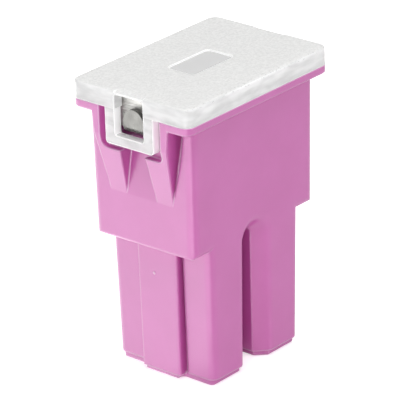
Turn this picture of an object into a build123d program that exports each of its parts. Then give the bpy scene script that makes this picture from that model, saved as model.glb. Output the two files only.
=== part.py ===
"""Automotive cartridge fuse with two female blade sockets.

Units are millimetres.  X runs along the long side, Y across, Z up.  The origin
is the middle of the footprint, on the plane that the feet stand on.  Both ends
and both sides are alike, so every end feature is made once and mirrored.
"""

import os
from math import cos, radians, sin, tan

from build123d import *

# ---------------------------------------------------------------- housing ----
SIDE_DRAFT = 0.8          # mould draft of the long sides, degrees
END_DRAFT = 0.5           # of the body's ends and of the ribs
LEG_DRAFT = 1.1           # of the legs' ends
FLANGE_LENGTH = 20.9      # flange and cover, along X
FLANGE_WIDTH = 14.2       # flange and cover, along Y
FLANGE_THICK = 0.85
FLANGE_CORNER = 1.0       # plan radius of flange and cover
FLANGE_Z = 27.15          # underside of the flange
FLANGE_EDGE = 0.15        # bevel under the flange

BODY_LENGTH = 18.15       # upper body, right under the flange
BODY_WIDTH = 12.7
BODY_CORNER = 0.95
BODY_BOTTOM_Z = 14.0      # shoulder where the body steps in to the legs
BODY_SIDE_ROUND = 0.8     # shoulder edges along the long sides
BODY_END_ROUND = 0.4      # shoulder edges across the ends

LEG_LENGTH = 13.35        # over both legs, at the shoulder
LEG_CORNER = 0.85
RIB_LENGTH = 14.5         # over the stiffening ribs on the leg ends, at the shoulder
RIB_WIDTH = 4.9
RIB_CORNER = 0.25
RIB_BOTTOM_Z = 0.45       # the ribs end a little below the legs
GROOVE_FLOOR_X = 6.0      # grooves that set the rib off from the leg's end
GROOVE_WIDTH = 0.27
FOOT_HEIGHT = 0.65
FOOT_INSET = 0.35         # on the long sides
FOOT_END_INSET = 0.17
FOOT_EDGE = 0.12          # bevel under the foot

SLOT_WIDTH = 1.4          # between the two legs, at the arch
SLOT_DRAFT = 0.65         # the slot opens downwards, degrees on each side
SLOT_TOP_Z = 14.05
SLOT_MOUTH = 1.27         # chamfer of the slot's mouth on the long sides
SLOT_EDGE = 1.0           # round between that chamfer and the long side

SOCKET_WALL = 1.4         # between the slot's arch and the terminal socket
SOCKET_LENGTH = 3.2       # socket, along X
SOCKET_WIDTH = 9.2        # socket, along Y
FLOOR_THICK = 1.25        # web between slot and fuse chamber
CHAMBER_LENGTH = 14.4
CHAMBER_WIDTH = 9.4
CHAMBER_CORNER = 0.8

# ---------------------------------------- ribs and pockets on both ends ----
FIN_APEX_Z = 19.05        # the two wedge ribs start here
FIN_BEND_Z = 25.1         # above this their faces are upright
FIN_INNER_LOW = 1.81      # half spacing of the rib flanks, at the apex
FIN_INNER_HIGH = 1.25     # and at the flange
FIN_OUTER_LOW = 3.84
FIN_OUTER_HIGH = 4.68
FIN_EDGE = 0.12           # round along the rib edges
POCKET_SINK = 1.0         # pocket floor behind the end face, at the flange
POCKET_LOW = 3.72         # half width of the pocket's mouth, at the apex
POCKET_SHELF = 4.86       # at the shelf
POCKET_HIGH = 5.36        # and at the flange

SHELF_Z = 23.8            # shelf on the ribs, just under the clip arms
RECESS_WIDTH = 7.4        # recess for the clip arm, between the pillars
RECESS_CORNER = 0.6
NOTCH_Z = 24.9            # sill of the opening behind the arm's window

# ------------------------------------------------------------------ cover ----
COVER_HEIGHT = 1.8
COVER_TOP = 0.85          # thickness of the top plate
COVER_SKIRT = 1.1         # thickness of the skirt
COVER_EDGE = 0.22         # round along the top edge
RIM_DEPTH = 1.1           # locating rim, below the flange's top face
RIM_THICK = 0.8
FIT_GAP = 0.1             # running clearance of every moulded or pressed fit
PAD_LENGTH = 6.0          # polished sight pad in the frosted top
PAD_WIDTH = 3.3
PAD_CORNER = 0.5
PAD_DEPTH = 0.12

ARM_WIDTH = 5.8
ARM_THICK = 0.9
ARM_BOTTOM_Z = 24.45
ARM_CORNER = 0.35
WINDOW_WIDTH = 3.5
WINDOW_BOTTOM_Z = 25.4
WINDOW_TOP_Z = 29.5
WINDOW_CORNER = 0.25
DIP_LENGTH = 0.6          # the top slopes down a little to each window
DIP_DEPTH = 0.15

# ----------------------------------------------- fuse element and springs ----
SHEET = 0.45              # tinned copper alloy strip
CURL = 0.95               # middle radius of the rolled terminal edges
LIP_SPACING = 1.3         # half distance between the two lips' tips
BLADE_GRIP = 0.7          # free gap that a blade is pushed into
TERMINAL_BOTTOM_Z = 1.2
TERMINAL_TOP_Z = 13.4
SPRING_SHEET = 0.3        # steel spring clip around each terminal
SPRING_GAP = 0.05
SPRING_BOTTOM_Z = 5.0
SPRING_TOP_Z = 10.5
SPRING_OPENING = 3.4      # opening in the back of the clip

TANG_WIDTH = 7.0          # strip that rises from each terminal
BRIDGE_Z = 24.3           # middle of the fusible bridge's sheet
BRIDGE_LENGTH = 5.6       # necked length between the two shoulders
NECK_WIDTH = 0.9
NECK_OFFSET = 1.1         # sideways step of the S shaped neck
BEND = 0.7                # middle radius of the strip's bends
LUG_WIDTH = 2.5           # test lug with a round top, which stands in the arm's window
LUG_TOP_Z = 28.1
LUG_SINK = 0.6            # lug face behind the arm's outer face
PILL_RADIUS = 0.65        # tin pill on the neck
PILL_HEIGHT = 0.5

# ---------------------------------------------------------- worked values ----
SLOT_SLOPE = tan(radians(SLOT_DRAFT))
FLANGE_TOP_Z = FLANGE_Z + FLANGE_THICK
COVER_TOP_Z = FLANGE_TOP_Z + COVER_HEIGHT
CHAMBER_FLOOR_Z = SLOT_TOP_Z + FLOOR_THICK
END_X = FLANGE_LENGTH / 2
RECESS_X = END_X - ARM_THICK - FIT_GAP
SOCKET_IN_X = SLOT_WIDTH / 2 + SOCKET_WALL
SOCKET_OUT_X = SOCKET_IN_X + SOCKET_LENGTH
SPRING_SKIN = SPRING_SHEET + SPRING_GAP + FIT_GAP
TERMINAL_WIDTH = SOCKET_WIDTH - 2 * SPRING_SKIN
TERMINAL_IN_X = SOCKET_IN_X + SPRING_SKIN
TERMINAL_OUT_X = SOCKET_OUT_X - SPRING_SKIN
TANG_X = TERMINAL_OUT_X - SHEET / 2
LUG_X = END_X - LUG_SINK - SHEET / 2
LUG_STEP_Z = WINDOW_BOTTOM_Z + FIT_GAP + SHEET / 2


def drafted(size_at_flange, draft, z):
    """Full size of a pair of drafted outer walls at height z."""
    return size_at_flange - 2 * tan(radians(draft)) * (FLANGE_Z - z)


def at_flange(size_at_shoulder, draft):
    """Carry a size that is given at the shoulder up to the flange."""
    return size_at_shoulder + 2 * tan(radians(draft)) * (FLANGE_Z - BODY_BOTTOM_Z)


def drafted_prism(size, draft, plane, z_low, edge=0):
    """Long prism between two drafted walls, up to the flange; its lower edges can be rounded."""
    low, high = drafted(size, draft, z_low) / 2, size / 2
    outline = make_face(Polyline((-low, z_low), (low, z_low), (high, FLANGE_Z), (-high, FLANGE_Z), close=True))
    if edge:
        outline = fillet(outline.vertices().group_by(Axis.Y)[0], edge)
    return extrude(plane * outline, amount=FLANGE_LENGTH, both=True)


def column(length, width, end_draft, side_draft, corner, z_low):
    """Drafted column up to the flange with rounded upright edges; sizes are those at the flange."""
    walls = drafted_prism(length, end_draft, Plane.XZ, z_low) & drafted_prism(width, side_draft, Plane.YZ, z_low)
    return fillet(walls.edges().filter_by(lambda e: abs(e.tangent_at(0.5).Z) > 0.9), corner)


def block(x_range, y_half, z_range):
    """Box from ranges, symmetric in Y."""
    size = (x_range[1] - x_range[0], 2 * y_half, z_range[1] - z_range[0])
    centre = ((x_range[0] + x_range[1]) / 2, 0, (z_range[0] + z_range[1]) / 2)
    return Pos(*centre) * Box(*size)


def both_ends(shape):
    """A shape and its mirror image at the other end."""
    return [shape, mirror(shape, about=Plane.YZ)]


def side_profile(points, half_width):
    """Prism across Y from points in the X-Z plane."""
    face = make_face(Polyline(*[(x, 0, z) for x, z in points], close=True))
    return extrude(face, amount=half_width, dir=(0, 1, 0), both=True)


def front_profile(points, x_low, x_high):
    """Prism along X from points in the Y-Z plane."""
    face = make_face(Polyline(*[(x_low, y, z) for y, z in points], close=True))
    return extrude(face, amount=x_high - x_low, dir=(1, 0, 0))


# ---------------------------------------------------------------- housing ----
def upper_body():
    """Body block with its soft lower edges."""
    body = column(BODY_LENGTH, BODY_WIDTH, END_DRAFT, SIDE_DRAFT, BODY_CORNER, BODY_BOTTOM_Z)
    body &= drafted_prism(BODY_WIDTH, SIDE_DRAFT, Plane.YZ, BODY_BOTTOM_Z, BODY_SIDE_ROUND)
    return body & drafted_prism(BODY_LENGTH, END_DRAFT, Plane.XZ, BODY_BOTTOM_Z, BODY_END_ROUND)


def flange():
    """Plate on top of the body, as large as the cover."""
    plan = Plane.XY.offset(FLANGE_Z) * RectangleRounded(FLANGE_LENGTH, FLANGE_WIDTH, FLANGE_CORNER)
    plate = extrude(plan, amount=FLANGE_THICK)
    return chamfer(plate.faces().sort_by(Axis.Z)[0].edges(), FLANGE_EDGE)


def slot_half(z):
    """Half width of the slot at height z, below its arch."""
    return SLOT_WIDTH / 2 + SLOT_SLOPE * (SLOT_TOP_Z - SLOT_WIDTH / 2 - z)


def slot():
    """Arched slot through both long sides, with a little draft downwards."""
    radius, tilt = SLOT_WIDTH / 2, radians(SLOT_DRAFT)
    spring_x, spring_z = radius * cos(tilt), SLOT_TOP_Z - radius + radius * sin(tilt)
    foot_x, foot_z = slot_half(-SLOT_WIDTH), -SLOT_WIDTH
    walls = Polyline((-spring_x, spring_z), (-foot_x, foot_z), (foot_x, foot_z), (spring_x, spring_z))
    arch = ThreePointArc((spring_x, spring_z), (0, SLOT_TOP_Z), (-spring_x, spring_z))
    return extrude(Plane.XZ * make_face(walls + arch), amount=BODY_WIDTH, both=True)


def foot():
    """Foot of the leg on the +X side: the leg's own plan, pulled in all round."""
    def at_foot(size, draft):
        return drafted(at_flange(size, draft), draft, FOOT_HEIGHT)

    inner, width = slot_half(FOOT_HEIGHT), drafted(BODY_WIDTH, SIDE_DRAFT, FOOT_HEIGHT)
    reach = FOOT_INSET - FOOT_END_INSET - inner
    leg = at_foot(LEG_LENGTH, LEG_DRAFT) / 2 + reach
    rib = at_foot(RIB_LENGTH, END_DRAFT) / 2 + reach
    plan = Pos(inner + leg / 2, 0) * Rectangle(leg, width)
    plan = chamfer(plan.vertices().group_by(Axis.X)[0], SLOT_MOUTH)
    plan = fillet(plan.vertices().group_by(Axis.X)[-1], LEG_CORNER)
    plan += Pos(inner + rib / 2, 0) * Rectangle(rib, at_foot(RIB_WIDTH, END_DRAFT))
    block_below = extrude(offset(plan, amount=-FOOT_INSET), amount=FOOT_HEIGHT)
    return chamfer(block_below.faces().sort_by(Axis.Z)[0].edges(), FOOT_EDGE)


def slot_rim(shape, plan_size):
    """Edges of the slot's mouth on both long sides."""
    rim = []
    for side in (-1, 1):
        outer = shape.faces().filter_by(lambda f: side * f.normal_at().Y > 0.9).sort_by(Axis.Y)[-1 if side > 0 else 0]
        rim += [e for e in outer.edges() if abs(e.center().X) < plan_size and e.center().Z > FOOT_HEIGHT + FIT_GAP]
    return [e for e in rim if e.center().Z < SLOT_TOP_Z + plan_size]


def body_and_legs():
    """Upper body on two legs with end ribs, the arched slot between them, and their feet."""
    pair = column(at_flange(LEG_LENGTH, LEG_DRAFT), BODY_WIDTH, LEG_DRAFT, SIDE_DRAFT, LEG_CORNER, FOOT_HEIGHT)
    for cutter in both_ends(block((GROOVE_FLOOR_X, END_X), RIB_WIDTH / 2 + GROOVE_WIDTH, (0, BODY_BOTTOM_Z))):
        pair -= cutter
    rib_length, rib_width = at_flange(RIB_LENGTH, END_DRAFT), at_flange(RIB_WIDTH, END_DRAFT)
    pair += column(rib_length, rib_width, END_DRAFT, END_DRAFT, RIB_CORNER, RIB_BOTTOM_Z)
    shell = upper_body() + pair - slot()
    shell = chamfer(slot_rim(shell, SLOT_WIDTH), SLOT_MOUTH)
    shell = fillet(slot_rim(shell, SLOT_WIDTH + SLOT_MOUTH), SLOT_EDGE)
    for piece in both_ends(foot()):
        shell += piece
    return shell


def end_pocket():
    """Cutter for the sloping pocket floor at the +X end, V shaped from the front."""
    face_low = drafted(BODY_LENGTH, END_DRAFT, FIN_APEX_Z) / 2
    root = BODY_LENGTH / 2 - POCKET_SINK
    floor = [(face_low, FIN_APEX_Z), (root, FLANGE_Z), (END_X, FLANGE_Z), (END_X, FIN_APEX_Z)]
    mouth = [(POCKET_LOW, FIN_APEX_Z), (POCKET_SHELF, SHELF_Z), (POCKET_HIGH, FLANGE_Z)]
    mouth += [(-y, z) for y, z in reversed(mouth)]
    return side_profile(floor, FLANGE_WIDTH / 2) & front_profile(mouth, root, END_X)


def end_fins():
    """The two wedge ribs at the +X end, upright above their bend."""
    root = BODY_LENGTH / 2 - POCKET_SINK - FIT_GAP
    side = [
        (root, FIN_APEX_Z),
        (drafted(BODY_LENGTH, END_DRAFT, FIN_APEX_Z) / 2, FIN_APEX_Z),
        (END_X, FIN_BEND_Z),
        (END_X, FLANGE_TOP_Z),
        (root, FLANGE_TOP_Z),
    ]
    front = [
        (FIN_INNER_LOW, FIN_APEX_Z),
        (FIN_OUTER_LOW, FIN_APEX_Z),
        (FIN_OUTER_HIGH, FLANGE_TOP_Z),
        (FIN_INNER_HIGH, FLANGE_TOP_Z),
    ]
    fin = side_profile(side, FLANGE_WIDTH / 2) & front_profile(front, root, END_X)
    faces = fin.faces().filter_by(lambda f: f.normal_at().X > 0.9)
    flanks = [e for face in faces for e in face.edges() if abs(e.tangent_at(0.5).Y) < 0.5]
    fin = fillet(flanks, FIN_EDGE)
    return [fin, mirror(fin, about=Plane.XZ)]


def housing():
    """One-piece moulded housing: open on top, with a socket up each leg."""
    shell = body_and_legs() + flange()
    fins = end_fins()
    for cutter in both_ends(end_pocket()):
        shell -= cutter
    for fin in fins:
        for piece in both_ends(fin):
            shell += piece
    recess = block((RECESS_X, END_X + 1), RECESS_WIDTH / 2, (SHELF_Z, FLANGE_TOP_Z + 1))
    recess = fillet(recess.edges().filter_by(Axis.X).group_by(Axis.Z)[0], RECESS_CORNER)
    notch = block((CHAMBER_LENGTH / 2 - 1, END_X + 1), ARM_WIDTH / 2, (NOTCH_Z, FLANGE_TOP_Z + 1))
    for cutter in both_ends(recess) + both_ends(notch):
        shell -= cutter
    chamber = Plane.XY.offset(CHAMBER_FLOOR_Z) * RectangleRounded(CHAMBER_LENGTH, CHAMBER_WIDTH, CHAMBER_CORNER)
    shell -= extrude(chamber, amount=FLANGE_TOP_Z - CHAMBER_FLOOR_Z + 1)
    socket = block((SOCKET_IN_X, SOCKET_OUT_X), SOCKET_WIDTH / 2, (-1, CHAMBER_FLOOR_Z + 1))
    for cutter in both_ends(socket):
        shell -= cutter
    return shell


# ------------------------------------------------------------------ cover ----
def cover():
    """Clear cap: frosted plate with a polished pad, skirt, rim and two clip arms."""
    def plate(length, width, corner, z_low, z_high):
        return extrude(Plane.XY.offset(z_low) * RectangleRounded(length, width, corner), amount=z_high - z_low)

    cap = plate(FLANGE_LENGTH, FLANGE_WIDTH, FLANGE_CORNER, FLANGE_TOP_Z, COVER_TOP_Z)
    cap = fillet(cap.faces().sort_by(Axis.Z)[-1].edges(), COVER_EDGE)
    ceiling = COVER_TOP_Z - COVER_TOP
    cap -= plate(FLANGE_LENGTH - 2 * COVER_SKIRT, FLANGE_WIDTH - 2 * COVER_SKIRT,
                 FLANGE_CORNER / 2, FLANGE_TOP_Z, ceiling)
    rim_length, rim_width = CHAMBER_LENGTH - 2 * FIT_GAP, CHAMBER_WIDTH - 2 * FIT_GAP
    rim = plate(rim_length, rim_width, CHAMBER_CORNER, FLANGE_TOP_Z - RIM_DEPTH, ceiling)
    rim -= plate(rim_length - 2 * RIM_THICK, rim_width - 2 * RIM_THICK,
                 CHAMBER_CORNER / 2, FLANGE_TOP_Z - RIM_DEPTH, ceiling)
    cap += rim
    cap -= plate(PAD_LENGTH, PAD_WIDTH, PAD_CORNER, COVER_TOP_Z - PAD_DEPTH, COVER_TOP_Z + 1)
    arm = block((END_X - ARM_THICK, END_X), ARM_WIDTH / 2, (ARM_BOTTOM_Z, ceiling))
    arm = fillet(arm.edges().filter_by(Axis.X).group_by(Axis.Z)[0], ARM_CORNER)
    height = WINDOW_TOP_Z - WINDOW_BOTTOM_Z
    window = Plane.YZ.offset(END_X - COVER_SKIRT - FIT_GAP) * Pos(0, WINDOW_BOTTOM_Z + height / 2)
    window = extrude(window * RectangleRounded(WINDOW_WIDTH, height, WINDOW_CORNER), amount=2 * COVER_SKIRT)
    dip_z = COVER_TOP_Z - DIP_DEPTH
    dip = [(END_X - DIP_LENGTH, COVER_TOP_Z), (END_X, dip_z), (END_X + 1, dip_z), (END_X + 1, COVER_TOP_Z)]
    for piece in both_ends(arm):
        cap += piece
    for cutter in both_ends(window) + both_ends(side_profile(dip, WINDOW_WIDTH / 2)):
        cap -= cutter
    return cap


# ----------------------------------------------------------- fuse element ----
def strip(points, radii, thickness, plane):
    """Face of a bent strip from the points of its middle line."""
    path = FilletPolyline(*points, radius=radii)
    return plane * make_face(offset(path, amount=thickness / 2, side=Side.BOTH))


def terminal_section():
    """Plan of one rolled-edge terminal: a base plate, two curls and two lips."""
    back = TANG_X
    front = TERMINAL_IN_X + SHEET / 2
    half = TERMINAL_WIDTH / 2 - SHEET / 2
    tip = back - SHEET - BLADE_GRIP
    points = [(back, 0), (back, half), (front, half), (front, LIP_SPACING + 1.2), (tip, LIP_SPACING)]
    curl = strip(points, [CURL, CURL * 0.6, 0.4], SHEET, Plane.XY)
    return curl + mirror(curl, about=Plane.XZ)


def terminal_half():
    """Terminal, tang, half of the bridge and test lug on the +X side."""
    socket = extrude(Pos(0, 0, TERMINAL_BOTTOM_Z) * terminal_section(),
                     amount=TERMINAL_TOP_Z - TERMINAL_BOTTOM_Z)
    shoulder_x = BRIDGE_LENGTH / 2
    riser = [(TANG_X, TERMINAL_TOP_Z - 1), (TANG_X, BRIDGE_Z), (shoulder_x, BRIDGE_Z)]
    tang = extrude(strip(riser, BEND, SHEET, Plane.XZ), amount=TANG_WIDTH / 2, both=True)
    slit = LUG_WIDTH / 2 + SHEET / 2
    tang -= block((TANG_X - 2 * BEND, TANG_X + SHEET), slit, (BRIDGE_Z - 3 * BEND, BRIDGE_Z + SHEET))
    outward = [(TANG_X, BRIDGE_Z - 4 * BEND), (TANG_X, LUG_STEP_Z), (LUG_X, LUG_STEP_Z), (LUG_X, LUG_TOP_Z)]
    lug = extrude(strip(outward, BEND, SHEET, Plane.XZ), amount=LUG_WIDTH / 2, both=True)
    round_top = Pos(LUG_TOP_Z - LUG_WIDTH / 2) * Circle(LUG_WIDTH / 2)
    round_top += Pos(LUG_TOP_Z / 2 - LUG_WIDTH / 4) * Rectangle(LUG_TOP_Z - LUG_WIDTH / 2, LUG_WIDTH)
    facing_x = Plane((0, 0, 0), x_dir=(0, 0, 1), z_dir=(1, 0, 0))
    lug &= extrude(facing_x * round_top, amount=END_X)
    return socket + tang + lug


def fuse_element():
    """One stamped strip: terminal, bridge with its S shaped neck, terminal."""
    half = BRIDGE_LENGTH / 2
    step = NECK_OFFSET
    neck = [(-half - SHEET, step), (0.0, step), (0.0, -step), (half + SHEET, -step)]
    link = strip(neck, NECK_WIDTH * 0.7, NECK_WIDTH, Plane.XY)
    element = extrude(Pos(0, 0, BRIDGE_Z - SHEET / 2) * link, amount=SHEET)
    for side in both_ends(terminal_half()):
        element += side
    return element


def tin_pill():
    """Low tin dome on the middle of the neck."""
    dome = Pos(0, 0, BRIDGE_Z + SHEET / 2) * Cylinder(
        PILL_RADIUS, PILL_HEIGHT, align=(Align.CENTER, Align.CENTER, Align.MIN))
    return chamfer(dome.edges().group_by(Axis.Z)[-1], PILL_HEIGHT / 2)


def spring_clip():
    """Steel clip around the +X terminal, open towards the other leg."""
    length = TERMINAL_OUT_X - TERMINAL_IN_X + 2 * SPRING_GAP
    width = TERMINAL_WIDTH + 2 * SPRING_GAP
    radius = CURL * 0.6 + SHEET / 2
    middle = Pos((TERMINAL_IN_X + TERMINAL_OUT_X) / 2, 0, SPRING_BOTTOM_Z)
    ring = RectangleRounded(length + 2 * SPRING_SHEET, width + 2 * SPRING_SHEET, radius + SPRING_SHEET)
    ring -= RectangleRounded(length, width, radius)
    ring -= Pos(-length / 2, 0) * Rectangle(length, SPRING_OPENING)
    return extrude(middle * ring, amount=SPRING_TOP_Z - SPRING_BOTTOM_Z)


def main():
    """Build every piece and write one file for each."""
    spring_right, spring_left = both_ends(spring_clip())
    pieces = {
        "housing": housing(),
        "clear_cover": cover(),
        "fuse_element": fuse_element(),
        "tin_pill": tin_pill(),
        "terminal_spring_left": spring_left,
        "terminal_spring_right": spring_right,
    }
    os.makedirs("parts", exist_ok=True)
    for name, piece in pieces.items():
        export_step(piece, f"parts/{name}.step")


main()
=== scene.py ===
"""Dressed scene of an automotive cartridge fuse.

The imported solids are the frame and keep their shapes.  This script gives every
piece its finish, adds the moulding marks that are too fine for the solids and
the plates behind the test lugs, and sets up the floor, the light and the
camera.  Sizes in the classes are in millimetres; meshes are in metres.
"""

from __future__ import annotations

import logging
import math
from dataclasses import dataclass, field
from enum import Enum

import bpy
from mathutils import Matrix, Vector


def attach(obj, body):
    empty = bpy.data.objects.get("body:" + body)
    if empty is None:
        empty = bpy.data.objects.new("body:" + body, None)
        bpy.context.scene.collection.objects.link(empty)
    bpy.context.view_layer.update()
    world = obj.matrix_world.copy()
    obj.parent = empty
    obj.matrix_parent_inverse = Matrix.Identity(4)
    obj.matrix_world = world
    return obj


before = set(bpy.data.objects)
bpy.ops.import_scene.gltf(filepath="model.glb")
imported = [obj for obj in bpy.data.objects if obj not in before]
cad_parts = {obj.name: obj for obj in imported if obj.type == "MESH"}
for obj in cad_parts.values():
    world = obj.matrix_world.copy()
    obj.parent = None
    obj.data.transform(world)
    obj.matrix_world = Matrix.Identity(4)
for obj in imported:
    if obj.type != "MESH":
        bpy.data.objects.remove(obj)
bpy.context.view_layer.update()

MM = 0.001
EDGE_SAMPLES = 8               # rays that look for an edge near each point
EDGE_COSINES = (0.995, 0.9)    # lean of the rounded normal: an edge begins, and is full
LOG = logging.getLogger("cartridge_fuse")

Pair = tuple[float, float]
Triple = tuple[float, float, float]
Socket = bpy.types.NodeSocket


def linear(hex_colour: str) -> tuple[float, float, float, float]:
    """Turn an sRGB hex colour into linear red, green, blue and alpha, by the standard's own curve.

    Args:
        hex_colour: Six hex digits with a leading hash.

    Returns:
        Linear components, with alpha 1.
    """
    values = [int(hex_colour[i:i + 2], 16) / 255 for i in (1, 3, 5)]
    return (*[v / 12.92 if v <= 0.04045 else ((v + 0.055) / 1.055) ** 2.4 for v in values], 1.0)


class Rolling(Enum):
    """Which way a metal's fine marks run, as the pattern's scale along X, Y and Z.

    A scale of 0.05 draws each mark out to 20 times its width.
    """

    ALONG_Z = (1.0, 1.0, 0.05)
    ALONG_X = (0.05, 1.0, 1.0)
    CAST = (1.0, 1.0, 1.0)


class Nodes:
    """A node tree with one small call to add a node, and patterns that several finishes share."""

    def __init__(self, tree: bpy.types.NodeTree) -> None:
        """Start with an empty tree."""
        self.tree = tree
        self.tree.nodes.clear()

    def add(self, kind: str, settings: dict[str, object] | None = None,
            **inputs: object) -> bpy.types.Node:
        """Add a node with its settings, values and links.

        Args:
            kind: The node's type.
            settings: Attributes of the node itself.
            **inputs: Socket names, spaces as underscores, or i0, i1 ... for a socket's number,
                each with a value or an output socket.

        Returns:
            The new node.
        """
        node = self.tree.nodes.new(kind)
        for key, value in (settings or {}).items():
            setattr(node, key, value)
        for key, value in inputs.items():
            socket = node.inputs[int(key[1:]) if key[1:].isdigit() else key.replace("_", " ")]
            if isinstance(value, Socket):
                self.tree.links.new(value, socket)
            else:
                socket.default_value = value
        return node

    def place(self, stretch: Triple = (1.0, 1.0, 1.0)) -> Socket:
        """Object coordinates in millimetres, stretched if asked.

        Args:
            stretch: Scale along X, Y and Z on top of the change to millimetres.

        Returns:
            The vector socket.
        """
        coords = self.add("ShaderNodeTexCoord").outputs["Object"]
        return self.add("ShaderNodeVectorMath", {"operation": "MULTIPLY"}, i0=coords,
                        i1=tuple(s / MM for s in stretch)).outputs[0]

    def edge(self, radius: float) -> tuple[Socket, Socket]:
        """Rounded normal at the edges, and how far each point is turned by it.

        Args:
            radius: Radius of the rounding, in millimetres.

        Returns:
            The normal, and a factor that is 1 on the edge and 0 on the flat.
        """
        begins, full = EDGE_COSINES
        rounded = self.add("ShaderNodeBevel", {"samples": EDGE_SAMPLES},
                           Radius=radius * MM).outputs[0]
        flat = self.add("ShaderNodeNewGeometry").outputs["Normal"]
        cosine = self.add("ShaderNodeVectorMath", {"operation": "DOT_PRODUCT"},
                          i0=rounded, i1=flat).outputs["Value"]
        factor = self.add("ShaderNodeMapRange", Value=cosine, From_Min=begins, From_Max=full)
        return rounded, factor.outputs[0]

    def seen(self) -> Socket:
        """Tell what is seen, directly, mirrored or through clear plastic, from what only lights.

        Returns:
            A factor that is 1 for what is seen.
        """
        rays = self.add("ShaderNodeLightPath").outputs
        factor = rays["Is Camera Ray"]
        for ray in ("Is Glossy Ray", "Is Transmission Ray"):
            factor = self.add("ShaderNodeMath", {"operation": "MAXIMUM"},
                              i0=factor, i1=rays[ray]).outputs[0]
        return factor


def new_material(name: str) -> tuple[bpy.types.Material, Nodes]:
    """Make an empty node material.

    Args:
        name: The material's name.

    Returns:
        The material and its nodes.
    """
    material = bpy.data.materials.new(name)
    material.use_nodes = True
    return material, Nodes(material.node_tree)


@dataclass(frozen=True)
class MouldedPolyamide:
    """Pink polyamide 66 from a spark-eroded mould: satin faces, smoother edges, faint clouds, and
    edges paler as a painted highlight.
    """

    name: str = "moulded_polyamide_pink"
    colour: str = "#CA60AE"
    cloud: str = "#C65BA9"
    # paler colour laid on the edges: a painted highlight
    painted_highlight_colour: str = "#E0A0D0"
    roughness: Triple = (0.31, 0.37, 0.28)    # quiet, grainy, edge
    ior: float = 1.53
    specular: float = 1.0
    grain: float = 0.16                       # of spark erosion; the real one is finer, 0.16 shows
    grain_noise: Pair = (2.0, 0.6)            # detail and roughness of the noise
    grain_levels: Pair = (0.3, 0.7)           # noise that counts as quiet, and as grainy
    cloud_size: float = 5.0
    cloud_noise: Pair = (3.0, 0.55)
    cloud_levels: Pair = (0.35, 0.65)         # noise that counts as one colour, and as the other
    edge_radius: float = 0.30
    relief: float = 0.006

    def material(self) -> bpy.types.Material:
        """Build the material.

        Returns:
            The material.
        """
        material, n = new_material(self.name)
        place = n.place()
        edge_normal, edge = n.edge(self.edge_radius)
        cloud = n.add("ShaderNodeTexNoise", Vector=place, Scale=1 / self.cloud_size,
                      Detail=self.cloud_noise[0], Roughness=self.cloud_noise[1])
        grain = n.add("ShaderNodeTexNoise", Vector=place, Scale=1 / self.grain,
                      Detail=self.grain_noise[0], Roughness=self.grain_noise[1])
        clouded = n.add("ShaderNodeMapRange", Value=cloud.outputs[0],
                        From_Min=self.cloud_levels[0], From_Max=self.cloud_levels[1])
        body = n.add("ShaderNodeMix", {"data_type": "RGBA"}, i0=clouded.outputs[0],
                     i6=linear(self.colour), i7=linear(self.cloud))
        # The edges are mixed towards a paler colour: a painted highlight.
        colour_with_painted_highlight = n.add("ShaderNodeMix", {"data_type": "RGBA"}, i0=edge,
                      i6=body.outputs[2], i7=linear(self.painted_highlight_colour))
        quiet, grainy, edge_rough = self.roughness
        satin = n.add("ShaderNodeMapRange", Value=grain.outputs[0], From_Min=self.grain_levels[0],
                      From_Max=self.grain_levels[1], To_Min=quiet, To_Max=grainy)
        rough = n.add("ShaderNodeMix", i0=edge, i2=satin.outputs[0], i3=edge_rough)
        bump = n.add("ShaderNodeBump", Strength=1.0, Distance=self.relief * MM,
                     Height=grain.outputs[0], Normal=edge_normal)
        shader = n.add("ShaderNodeBsdfPrincipled", Base_Color=colour_with_painted_highlight.outputs[2],
                       Roughness=rough.outputs[0], IOR=self.ior, Specular_IOR_Level=self.specular,
                       Normal=bump.outputs[0])
        n.add("ShaderNodeOutputMaterial", Surface=shader.outputs[0])
        return material


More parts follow.
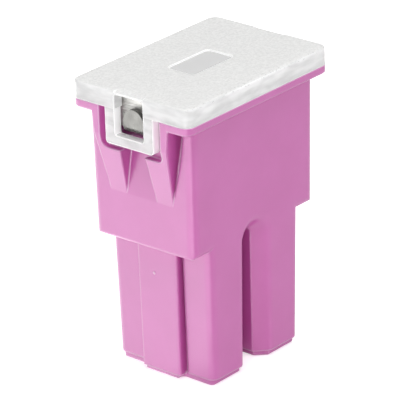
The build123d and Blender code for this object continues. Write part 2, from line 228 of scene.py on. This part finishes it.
@dataclass(frozen=True)
class ClearPolycarbonate:
    """Milky clear polycarbonate: stippled top that hides what is below, smooth pad, edges white with
    a painted highlight and a painted glow.
    """

    skirt: str = "#FFFFFF"
    cloud: str = "#E2E2E2"
    frosted: str = "#E6E6E5"
    frosted_deep: str = "#D5D5D4"
    pad: str = "#CBCBCB"
    fleck: str = "#A9A9A8"
    # white at the edges: painted highlight, and the colour of the painted glow
    painted_highlight_colour: str = "#FFFFFF"
    roughness: Pair = (0.12, 0.75)    # smooth faces, and the frosted top
    milk: float = 2.0                 # how far light spreads inside
    milkiness: float = 0.4            # share of the light that does
    ior: float = 1.58
    clear_skirt: float = 0.08         # share of the light that passes, at the skirt and the arms
    clear_arm: float = 0.25
    clear_wall: float = 0.0           # and at the arms' narrow walls, which turn it back
    stipple: float = 0.22             # grain of the top; the real one is finer, 0.22 still shows
    stipple_noise: Pair = (3.0, 0.7)  # detail and roughness of the noise
    stipple_levels: Pair = (0.35, 0.65)    # noise where a colour begins, and where it is full
    relief: float = 0.018
    cloud_size: float = 1.3
    cloud_detail: float = 2.0
    cloud_levels: Pair = (0.4, 0.65)
    flow: Triple = (0.4, 0.4, 1.3)    # clouds drawn out along the skirt, as the melt ran
    edge_radius: float = 0.26
    painted_edge_glow: float = 0.18           # painted glow at the edges, in place of light that runs inside the plastic
    painted_wall_glow: float = 0.30           # and a stronger painted glow at the narrow walls of the arms
    painted_side_glow: float = 0.04           # and, much less, a painted glow at the long sides of the skirt
    fleck_band: float = 6.45          # the stipple breaks up into flecks this far from the middle
    fleck_fade: float = 0.5           # over this width
    fleck_levels: Pair = (0.6, 0.68)
    upward: float = 0.8               # a face looks up when its normal rises more than this
    sideways: float = 0.7             # and to a side when it leans to Y more than this

    def places(self, n: Nodes, place: Socket, top_z: float, arm_z: float, pad: Pair,
               pad_depth: float) -> dict[str, Socket]:
        """Find the cover's parts by their place and the way that they face.

        Args:
            n: The tree to add to.
            place: Object coordinates in millimetres.
            top_z: Height of the frosted face.
            arm_z: Height below which the plastic belongs to the clip arms.
            pad: Half length and half width of the polished pad.
            pad_depth: How far the pad lies below the frosted face.

        Returns:
            By name, a factor that is 1 on that part and 0 off it, and off_middle, the distance
            from the middle across the cover.
        """
        across = n.add("ShaderNodeVectorMath", {"operation": "ABSOLUTE"}, i0=place).outputs[0]
        normal = n.add("ShaderNodeNewGeometry").outputs["Normal"]
        xyz, off, facing = (n.add("ShaderNodeSeparateXYZ", i0=vector).outputs
                            for vector in (place, across, normal))
        facing_y = n.add("ShaderNodeMath", {"operation": "ABSOLUTE"}, i0=facing["Y"]).outputs[0]
        limits = {
            "upward": (facing["Z"], "GREATER_THAN", self.upward),
            "high": (xyz["Z"], "GREATER_THAN", top_z - 2 * pad_depth),
            "low": (xyz["Z"], "LESS_THAN", top_z - pad_depth / 2),
            "in_x": (off["X"], "LESS_THAN", pad[0]),
            "in_y": (off["Y"], "LESS_THAN", pad[1]),
            "arm": (xyz["Z"], "LESS_THAN", arm_z),
            "sideways": (facing_y, "GREATER_THAN", self.sideways),
        }
        on = {name: n.add("ShaderNodeMath", {"operation": test}, i0=value, i1=limit).outputs[0]
              for name, (value, test, limit) in limits.items()}
        for name, first, second in (("top", "upward", "high"), ("in_pad", "in_x", "in_y"),
                                    ("polished", "in_pad", "low"), ("wall", "sideways", "arm")):
            on[name] = n.add("ShaderNodeMath", {"operation": "MULTIPLY"},
                             i0=on[first], i1=on[second]).outputs[0]
        on["frost"] = n.add("ShaderNodeMath", {"operation": "SUBTRACT", "use_clamp": True},
                            i0=on["top"], i1=on["polished"]).outputs[0]
        on["off_middle"] = off["Y"]
        return on

    def colours(self, n: Nodes, on: dict[str, Socket], edge: Socket, stipple: Socket) -> Socket:
        """Lay the cover's colours over each other.

        Args:
            n: The tree to add to.
            on: The cover's parts, from places.
            edge: Factor that is 1 on an edge.
            stipple: The stipple's noise.

        Returns:
            The colour.
        """
        cloud = n.add("ShaderNodeTexNoise", Vector=n.place(self.flow), Scale=1 / self.cloud_size,
                      Detail=self.cloud_detail).outputs[0]
        clouded, coarse, dark = (
            n.add("ShaderNodeMapRange", Value=noise, From_Min=low, From_Max=high).outputs[0]
            for noise, (low, high) in ((cloud, self.cloud_levels), (stipple, self.stipple_levels),
                                       (stipple, self.fleck_levels)))
        mixed = {"data_type": "RGBA"}
        side, matt = (
            n.add("ShaderNodeMix", mixed, i0=factor, i6=linear(one), i7=linear(other)).outputs[2]
            for factor, one, other in ((clouded, self.skirt, self.cloud),
                                       (coarse, self.frosted, self.frosted_deep)))
        fleck = n.add("ShaderNodeMapRange", Value=on["off_middle"], From_Min=self.fleck_band,
                      From_Max=self.fleck_band + self.fleck_fade).outputs[0]
        for factor in (dark, on["high"]):
            fleck = n.add("ShaderNodeMath", {"operation": "MULTIPLY"},
                          i0=fleck, i1=factor).outputs[0]
        colour = side
        # The edges are laid over in white: a painted highlight.
        for factor, layer in ((on["frost"], matt), (on["polished"], linear(self.pad)),
                              (edge, linear(self.painted_highlight_colour)), (fleck, linear(self.fleck))):
            colour = n.add("ShaderNodeMix", mixed, i0=factor, i6=colour, i7=layer).outputs[2]
        return colour

    def clearness(self, n: Nodes, on: dict[str, Socket], edge: Socket) -> Socket:
        """Let light through the skirt and the arms, but not the top, the edges or the arms' walls.

        Args:
            n: The tree to add to.
            on: The cover's parts, from places.
            edge: Factor that is 1 on an edge.

        Returns:
            The share of the light that passes.
        """
        hidden = n.add("ShaderNodeMath", {"operation": "MAXIMUM"}, i0=edge, i1=on["top"]).outputs[0]
        clear = self.clear_skirt
        for factor, share in ((on["arm"], self.clear_arm), (hidden, 0.0),
                              (on["wall"], self.clear_wall)):
            clear = n.add("ShaderNodeMapRange", Value=factor, To_Min=clear, To_Max=share).outputs[0]
        return clear

    def glow(self, n: Nodes, on: dict[str, Socket], edge: Socket) -> Socket:
        """Painted glow, in place of the light that the clear plastic carries inside and lets out.

        Args:
            n: The tree to add to.
            on: The cover's parts, from places.
            edge: Factor that is 1 on an edge.

        Returns:
            The strength of the painted glow.
        """
        side = n.add("ShaderNodeMath", {"operation": "MULTIPLY"}, i0=on["sideways"],
                     i1=self.painted_side_glow)
        edges = n.add("ShaderNodeMath", {"operation": "MULTIPLY_ADD"}, i0=edge, i1=self.painted_edge_glow,
                      i2=side.outputs[0])
        wall = n.add("ShaderNodeMath", {"operation": "MULTIPLY"}, i0=on["wall"], i1=self.painted_wall_glow)
        return n.add("ShaderNodeMath", {"operation": "MAXIMUM"}, i0=edges.outputs[0],
                     i1=wall.outputs[0]).outputs[0]

    def material(self, top_z: float, arm_z: float, pad: Pair,
                 pad_depth: float) -> bpy.types.Material:
        """Build the material.

        Args:
            top_z: Height of the frosted face.
            arm_z: Height below which the plastic belongs to the clip arms.
            pad: Half length and half width of the polished pad.
            pad_depth: How far the pad lies below the frosted face.

        Returns:
            The material.
        """
        material, n = new_material("clear_polycarbonate")
        place = n.place()
        edge_normal, edge = n.edge(self.edge_radius)
        on = self.places(n, place, top_z, arm_z, pad, pad_depth)
        stipple = n.add("ShaderNodeTexNoise", Vector=place, Scale=1 / self.stipple,
                        Detail=self.stipple_noise[0], Roughness=self.stipple_noise[1]).outputs[0]
        rough = n.add("ShaderNodeMapRange", Value=on["frost"], To_Min=self.roughness[0],
                      To_Max=self.roughness[1])
        grain = n.add("ShaderNodeMath", {"operation": "MULTIPLY"}, i0=stipple, i1=on["frost"])
        bump = n.add("ShaderNodeBump", Strength=1.0, Distance=self.relief * MM,
                     Height=grain.outputs[0], Normal=edge_normal)
        # The emission is a painted glow at the edges, the arms' walls and the skirt's sides.
        shader = n.add("ShaderNodeBsdfPrincipled", Base_Color=self.colours(n, on, edge, stipple),
                       Roughness=rough.outputs[0], Transmission_Weight=self.clearness(n, on, edge),
                       IOR=self.ior, Subsurface_Weight=self.milkiness,
                       Subsurface_Radius=(1.0, 1.0, 1.0), Subsurface_Scale=self.milk * MM,
                       Normal=bump.outputs[0], Emission_Color=linear(self.painted_highlight_colour),
                       Emission_Strength=self.glow(n, on, edge))
        n.add("ShaderNodeOutputMaterial", Surface=shader.outputs[0])
        return material


@dataclass(frozen=True)
class SheetMetal:
    """Metal with fine marks from rolling or casting: soft highlights, drawn out along the marks."""

    name: str
    colour: str
    dull: str
    roughness: float
    rolling: Rolling
    spread: Pair = (0.8, 1.25)         # of the roughness, over the marks
    mark: float = 0.08                 # width of a rolling mark
    mark_detail: float = 2.0
    mark_levels: Pair = (0.3, 0.7)     # noise that counts as the smooth end, and as the rough one
    patches: float = 1.2               # dull patches in a millimetre
    patch_detail: float = 3.0
    relief: float = 0.002

    def material(self) -> bpy.types.Material:
        """Build the material.

        Returns:
            The material.
        """
        material, n = new_material(self.name)
        lines = n.add("ShaderNodeTexNoise", Vector=n.place(self.rolling.value), Scale=1 / self.mark,
                      Detail=self.mark_detail)
        cloud = n.add("ShaderNodeTexNoise", Vector=n.place(), Scale=self.patches,
                      Detail=self.patch_detail)
        colour = n.add("ShaderNodeMix", {"data_type": "RGBA"}, i0=cloud.outputs[0],
                       i6=linear(self.colour), i7=linear(self.dull))
        rough = n.add("ShaderNodeMapRange", Value=lines.outputs[0], From_Min=self.mark_levels[0],
                      From_Max=self.mark_levels[1], To_Min=self.roughness * self.spread[0],
                      To_Max=self.roughness * self.spread[1])
        bump = n.add("ShaderNodeBump", Strength=1.0, Distance=self.relief * MM,
                     Height=lines.outputs[0])
        shader = n.add("ShaderNodeBsdfPrincipled", Base_Color=colour.outputs[2],
                       Roughness=rough.outputs[0], Metallic=1.0, Normal=bump.outputs[0])
        n.add("ShaderNodeOutputMaterial", Surface=shader.outputs[0])
        return material


@dataclass(frozen=True)
class AcrylicBoard:
    """White acrylic board under the object: polished, so it keeps a faint image of the feet, with a
    painted pool of light that only reflections see.
    """

    colour: str = "#F2F2F2"
    roughness: float = 0.08
    coat_ior: float = 1.8
    light: str = "#FFFFFF"
    glow: float = 0.60                # seen on top of the lit board, so that it reads white
    pool_glow: Pair = (0.25, 2.5)     # painted pool of light, in mirrored rays alone: the +X -Y side, then the -X +Y side; it lays a painted reflection on the -X faces
    pool_edge: Pair = (-2.0, 11.0)    # Y less X where the one turns into the other

    def material(self) -> bpy.types.Material:
        """Build the material.

        Returns:
            The material.
        """
        material, n = new_material("white_acrylic_board")
        board = n.add("ShaderNodeBsdfPrincipled", Base_Color=linear(self.colour),
                      Roughness=self.roughness, Specular_IOR_Level=1.0, Coat_Weight=1.0,
                      Coat_IOR=self.coat_ior, Coat_Roughness=self.roughness).outputs[0]
        xyz = n.add("ShaderNodeSeparateXYZ", i0=n.place()).outputs
        slant = n.add("ShaderNodeMath", {"operation": "SUBTRACT"}, i0=xyz["Y"], i1=xyz["X"])
        # Painted pool of light on the board, seen only in reflections.
        pool = n.add("ShaderNodeMapRange", {"interpolation_type": "SMOOTHSTEP"},
                     Value=slant.outputs[0], From_Min=self.pool_edge[0], From_Max=self.pool_edge[1],
                     To_Min=self.pool_glow[0], To_Max=self.pool_glow[1])
        mirrored = n.add("ShaderNodeLightPath").outputs["Is Glossy Ray"]
        strength = n.add("ShaderNodeMix", i0=mirrored, i2=self.glow, i3=pool.outputs[0])
        glow = n.add("ShaderNodeEmission", Color=linear(self.light), Strength=strength.outputs[0])
        both = n.add("ShaderNodeAddShader", i0=board, i1=glow.outputs[0])
        mix = n.add("ShaderNodeMixShader", i0=n.seen(), i1=board, i2=both.outputs[0])
        n.add("ShaderNodeOutputMaterial", Surface=mix.outputs[0])
        return material


class ShapeTree:
    """A Geometry Nodes tree with named sizes, run once and kept as a plain mesh."""

    def __init__(self, name: str, sizes: dict[str, float | int]) -> None:
        """Start a tree whose inputs are the given sizes.

        Args:
            name: Name of the tree and of the piece that it makes.
            sizes: Input names and values; whole numbers make whole-number inputs.
        """
        self.name = name
        self.sizes = sizes
        self.group = bpy.data.node_groups.new(name, "GeometryNodeTree")
        self.nodes = Nodes(self.group)
        self.group.interface.new_socket(name="Geometry", in_out="OUTPUT",
                                        socket_type="NodeSocketGeometry")
        self.identifiers: dict[str, str] = {}
        for label, value in sizes.items():
            kind = "NodeSocketInt" if isinstance(value, int) else "NodeSocketFloat"
            socket = self.group.interface.new_socket(name=label, in_out="INPUT", socket_type=kind)
            self.identifiers[label] = socket.identifier
        self.inputs = self.nodes.add("NodeGroupInput").outputs

    def both_ends(self, geometry: Socket) -> Socket:
        """Join a piece at the -X end with the same piece at the +X end.

        Args:
            geometry: The piece at the -X end.

        Returns:
            The socket with both.
        """
        far = self.nodes.add("GeometryNodeTransform", Geometry=geometry,
                             Rotation=(0.0, 0.0, math.pi))
        join = self.nodes.add("GeometryNodeJoinGeometry", Geometry=geometry)
        self.nodes.tree.links.new(far.outputs[0], join.inputs[0])
        return join.outputs[0]

    def piece(self, geometry: Socket, material: bpy.types.Material) -> bpy.types.Object:
        """Run the tree and keep its result as a plain mesh at the origin.

        Args:
            geometry: The finished geometry.
            material: The finish.

        Returns:
            The new object.
        """
        real = self.nodes.add("GeometryNodeRealizeInstances", Geometry=geometry)
        dressed = self.nodes.add("GeometryNodeSetMaterial", Geometry=real.outputs[0],
                                 Material=material)
        self.nodes.add("NodeGroupOutput", Geometry=dressed.outputs[0])
        obj = bpy.data.objects.new(self.name, bpy.data.meshes.new(self.name))
        bpy.context.collection.objects.link(obj)
        modifier = obj.modifiers.new("shape", "NODES")
        modifier.node_group = self.group
        for label, value in self.sizes.items():
            modifier[self.identifiers[label]] = value
        view = bpy.context.evaluated_depsgraph_get()
        mesh = bpy.data.meshes.new_from_object(obj.evaluated_get(view))
        obj.modifiers.clear()
        obj.data = mesh
        return obj


def dress(node: str, material: bpy.types.Material) -> None:
    """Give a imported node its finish.

    Args:
        node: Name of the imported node.
        material: The finish.
    """
    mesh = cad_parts[node].data
    mesh.materials.clear()
    mesh.materials.append(material)
    LOG.info("dressed %s with %s", node, material.name)


@dataclass
class Housing:
    """One-piece pink moulding with flange, body and two legs."""

    gate_place: Triple = (-7.22, 0.4, 10.6)    # where the mould's pin gate broke off, on the rib
    gate_radius: float = 0.16
    gate_top: float = 0.6                      # radius of its top, as a share of the radius
    gate_height: float = 0.03
    gate_sides: int = 20
    finish: MouldedPolyamide = field(default_factory=MouldedPolyamide)
    # The same plastic where it was torn off: stretched, so paler.
    scar: MouldedPolyamide = field(default_factory=lambda: MouldedPolyamide(
        name="stress_whitened_polyamide", colour="#E3B4D6", cloud="#DBA2CB", painted_highlight_colour="#E3B4D6",
        edge_radius=0.02))

    def gate_marks(self) -> None:
        """Low round gate marks on both leg ribs."""
        tree = ShapeTree("gate_marks", {
            "Radius": self.gate_radius * MM, "Top radius": self.gate_top * self.gate_radius * MM,
            "Height": self.gate_height * MM, "Sides": self.gate_sides})
        n, sizes = tree.nodes, tree.inputs
        button = n.add("GeometryNodeMeshCone", {"fill_type": "NGON"}, Vertices=sizes["Sides"],
                       Side_Segments=1, Radius_Top=sizes["Top radius"],
                       Radius_Bottom=sizes["Radius"], Depth=sizes["Height"])
        placed = n.add("GeometryNodeTransform", Geometry=button.outputs["Mesh"],
                       Translation=tuple(c * MM for c in self.gate_place),
                       Rotation=(0.0, -math.pi / 2, 0.0))
        marks = tree.piece(tree.both_ends(placed.outputs[0]), self.scar.material())
        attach(marks, "root")
        LOG.info("made %s", marks.name)

    def build(self) -> None:
        """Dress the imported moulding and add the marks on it."""
        dress("housing", self.finish.material())
        self.gate_marks()


@dataclass
class ClearCover:
    """Clip-on cover with frosted top, polished pad and two windowed arms."""

    top_z: float = 29.8               # the frosted face
    arm_z: float = 28.0               # the arms begin below this height
    pad_half: Pair = (3.0, 1.65)
    pad_depth: float = 0.12
    finish: ClearPolycarbonate = field(default_factory=ClearPolycarbonate)

    def build(self) -> None:
        """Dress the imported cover."""
        dress("clear_cover", self.finish.material(self.top_z, self.arm_z, self.pad_half,
                                                  self.pad_depth))


@dataclass
class MetalParts:
    """Fuse element, tin pill and the springs around the terminals."""

    # Stamped strip under thin tin, streaked along the strip; its colour is darkened to mid grey as
    # painted shade, for the shaded window where it shows.
    element: SheetMetal = field(default_factory=lambda: SheetMetal(
        "tin_plated_copper_painted_shade", "#7B7B78", "#5A5957", 0.30, Rolling.ALONG_Z))
    # Tin pressed into fine lines, matt; its colour is lightened as painted light, against the shade
    # in the window.
    plate: SheetMetal = field(default_factory=lambda: SheetMetal(
        "coined_tin_plate_painted_light", "#DEDEDB", "#C0BFBC", 0.55, Rolling.ALONG_X))
    # Tin as it set: pale, dull and without direction.
    pill: SheetMetal = field(default_factory=lambda: SheetMetal(
        "cast_tin", "#C9C8C3", "#9E9C96", 0.42, Rolling.CAST))
    # Hard rolled steel: cool and bright, with sharper highlights.
    spring: SheetMetal = field(default_factory=lambda: SheetMetal(
        "bright_spring_steel", "#9FA1A4", "#7D7F83", 0.27, Rolling.ALONG_X))

    plate_size: Triple = (0.1, 5.4, 2.93)     # tab plate behind the test lug, thick, wide and high
    plate_place: Triple = (-9.0, 0.0, 27.43)
    ridges: int = 9                           # coined lines across the plate
    first_ridge: float = -1.5                 # height of the lowest, from the plate's middle
    ridge_spacing: float = 0.3
    ridge: float = 0.08

    def tab_plates(self, material: bpy.types.Material) -> None:
        """Ribbed plates that close the windows behind the test lugs.

        Args:
            material: The plates' finish.
        """
        thick, wide, high = (size * MM for size in self.plate_size)
        tree = ShapeTree("tab_plates", {
            "Thickness": thick, "Width": wide, "Height": high, "Ridge": self.ridge * MM,
            "Ridges": self.ridges, "Spacing": self.ridge_spacing * MM})
        n, sizes = tree.nodes, tree.inputs
        plate, bar = (
            n.add("GeometryNodeMeshCube", Size=n.add(
                "ShaderNodeCombineXYZ", X=sizes[x], Y=sizes["Width"], Z=sizes[z]).outputs[0])
            for x, z in (("Thickness", "Height"), ("Ridge", "Ridge")))
        row = n.add("GeometryNodeMeshLine", Count=sizes["Ridges"],
                    Start_Location=(-thick / 2, 0.0, self.first_ridge * MM),
                    Offset=n.add("ShaderNodeCombineXYZ", Z=sizes["Spacing"]).outputs[0])
        bars = n.add("GeometryNodeInstanceOnPoints", Points=row.outputs[0], Instance=bar.outputs[0])
        ribbed = n.add("GeometryNodeJoinGeometry", Geometry=plate.outputs[0])
        n.tree.links.new(bars.outputs[0], ribbed.inputs[0])
        placed = n.add("GeometryNodeTransform", Geometry=ribbed.outputs[0],
                       Translation=tuple(c * MM for c in self.plate_place))
        plates = tree.piece(tree.both_ends(placed.outputs[0]), material)
        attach(plates, "root")
        LOG.info("made %s", plates.name)

    def build(self) -> None:
        """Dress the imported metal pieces."""
        dress("fuse_element", self.element.material())
        self.tab_plates(self.plate.material())
        dress("tin_pill", self.pill.material())
        spring = self.spring.material()
        dress("terminal_spring_left", spring)
        dress("terminal_spring_right", spring)


@dataclass(frozen=True)
class Lamp:
    """Square soft lamp that faces the middle of the object."""

    name: str
    where: Triple
    size: float      # length of a side
    watts: float
    target: Triple = (0.0, 0.0, 15.0)

    def build(self) -> None:
        """Put the lamp in the scene."""
        data = bpy.data.lights.new(self.name, "AREA")
        data.size = self.size * MM
        data.energy = self.watts
        lamp = bpy.data.objects.new(self.name, data)
        bpy.context.collection.objects.link(lamp)
        place = Vector(self.where) * MM
        lamp.location = place
        lamp.rotation_euler = (place - Vector(self.target) * MM).to_track_quat("Z", "Y").to_euler()


@dataclass
class Studio:
    """White room: floor, soft lamps, world and camera."""

    azimuth: float = -49.478
    elevation: float = 23.393
    roll: float = 1.746
    distance: float = 322.48
    aim: Triple = (-0.298, 0.348, 15.700)
    lens: float = 304.4
    sensor: float = 36.0
    clip: Pair = (0.01, 10.0)         # nearest and farthest that the camera sees, in metres
    floor_half: float = 400.0
    board: AcrylicBoard = field(default_factory=AcrylicBoard)
    world_colour: str = "#FFFFFF"
    world_light: float = 0.37         # the world as a lamp
    world_white: float = 1.0          # the world as it is seen
    lamps: tuple[Lamp, ...] = (
        Lamp("key_lamp", (-240, 80, 150), 200, 0.01),    # all but off: the world does its work
        Lamp("fill_lamp", (60, -260, 170), 160, 0.14),
        Lamp("front_lamp", (-300, -230, 175), 120, 0.26),
        Lamp("top_lamp", (-60, -40, 300), 160, 0.50),
    )

    def camera(self) -> None:
        """Long-lens camera, turned a little about its own axis."""
        az, el = math.radians(self.azimuth), math.radians(self.elevation)
        away = Vector((math.sin(az) * math.cos(el), -math.cos(az) * math.cos(el), math.sin(el)))
        data = bpy.data.cameras.new("camera")
        data.lens = self.lens
        data.sensor_width = self.sensor
        data.clip_start, data.clip_end = self.clip
        cam = bpy.data.objects.new("camera", data)
        bpy.context.collection.objects.link(cam)
        turn = away.to_track_quat("Z", "Y").to_matrix().to_4x4()
        place = Matrix.Translation((Vector(self.aim) + away * self.distance) * MM)
        cam.matrix_world = place @ turn @ Matrix.Rotation(math.radians(-self.roll), 4, "Z")
        bpy.context.scene.camera = cam

    def floor(self) -> None:
        """White floor that keeps the shadow and looks white to the camera."""
        half = self.floor_half * MM
        mesh = bpy.data.meshes.new("floor")
        corners = [(-half, -half, 0), (half, -half, 0), (half, half, 0), (-half, half, 0)]
        mesh.from_pydata(corners, [], [(0, 1, 2, 3)])
        mesh.materials.append(self.board.material())
        floor = bpy.data.objects.new("floor", mesh)
        bpy.context.collection.objects.link(floor)

    def world(self) -> None:
        """Pale world, white to the camera and in reflections."""
        world = bpy.data.worlds.new("world")
        bpy.context.scene.world = world
        world.use_nodes = True
        n = Nodes(world.node_tree)
        level = n.add("ShaderNodeMix", i0=n.seen(), i2=self.world_light, i3=self.world_white)
        back = n.add("ShaderNodeBackground", Color=linear(self.world_colour),
                     Strength=level.outputs[0])
        n.add("ShaderNodeOutputWorld", Surface=back.outputs[0])

    def build(self) -> None:
        """Set up the room."""
        self.floor()
        self.world()
        self.camera()
        for lamp in self.lamps:
            lamp.build()
        bpy.context.scene.view_settings.view_transform = "Standard"
        LOG.info("set up the studio with %d lamps", len(self.lamps))


def main() -> None:
    """Dress every piece and set the stage."""
    logging.basicConfig(level=logging.INFO, format="%(message)s")
    Housing().build()
    ClearCover().build()
    MetalParts().build()
    Studio().build()


if __name__ == "__main__":
    main()
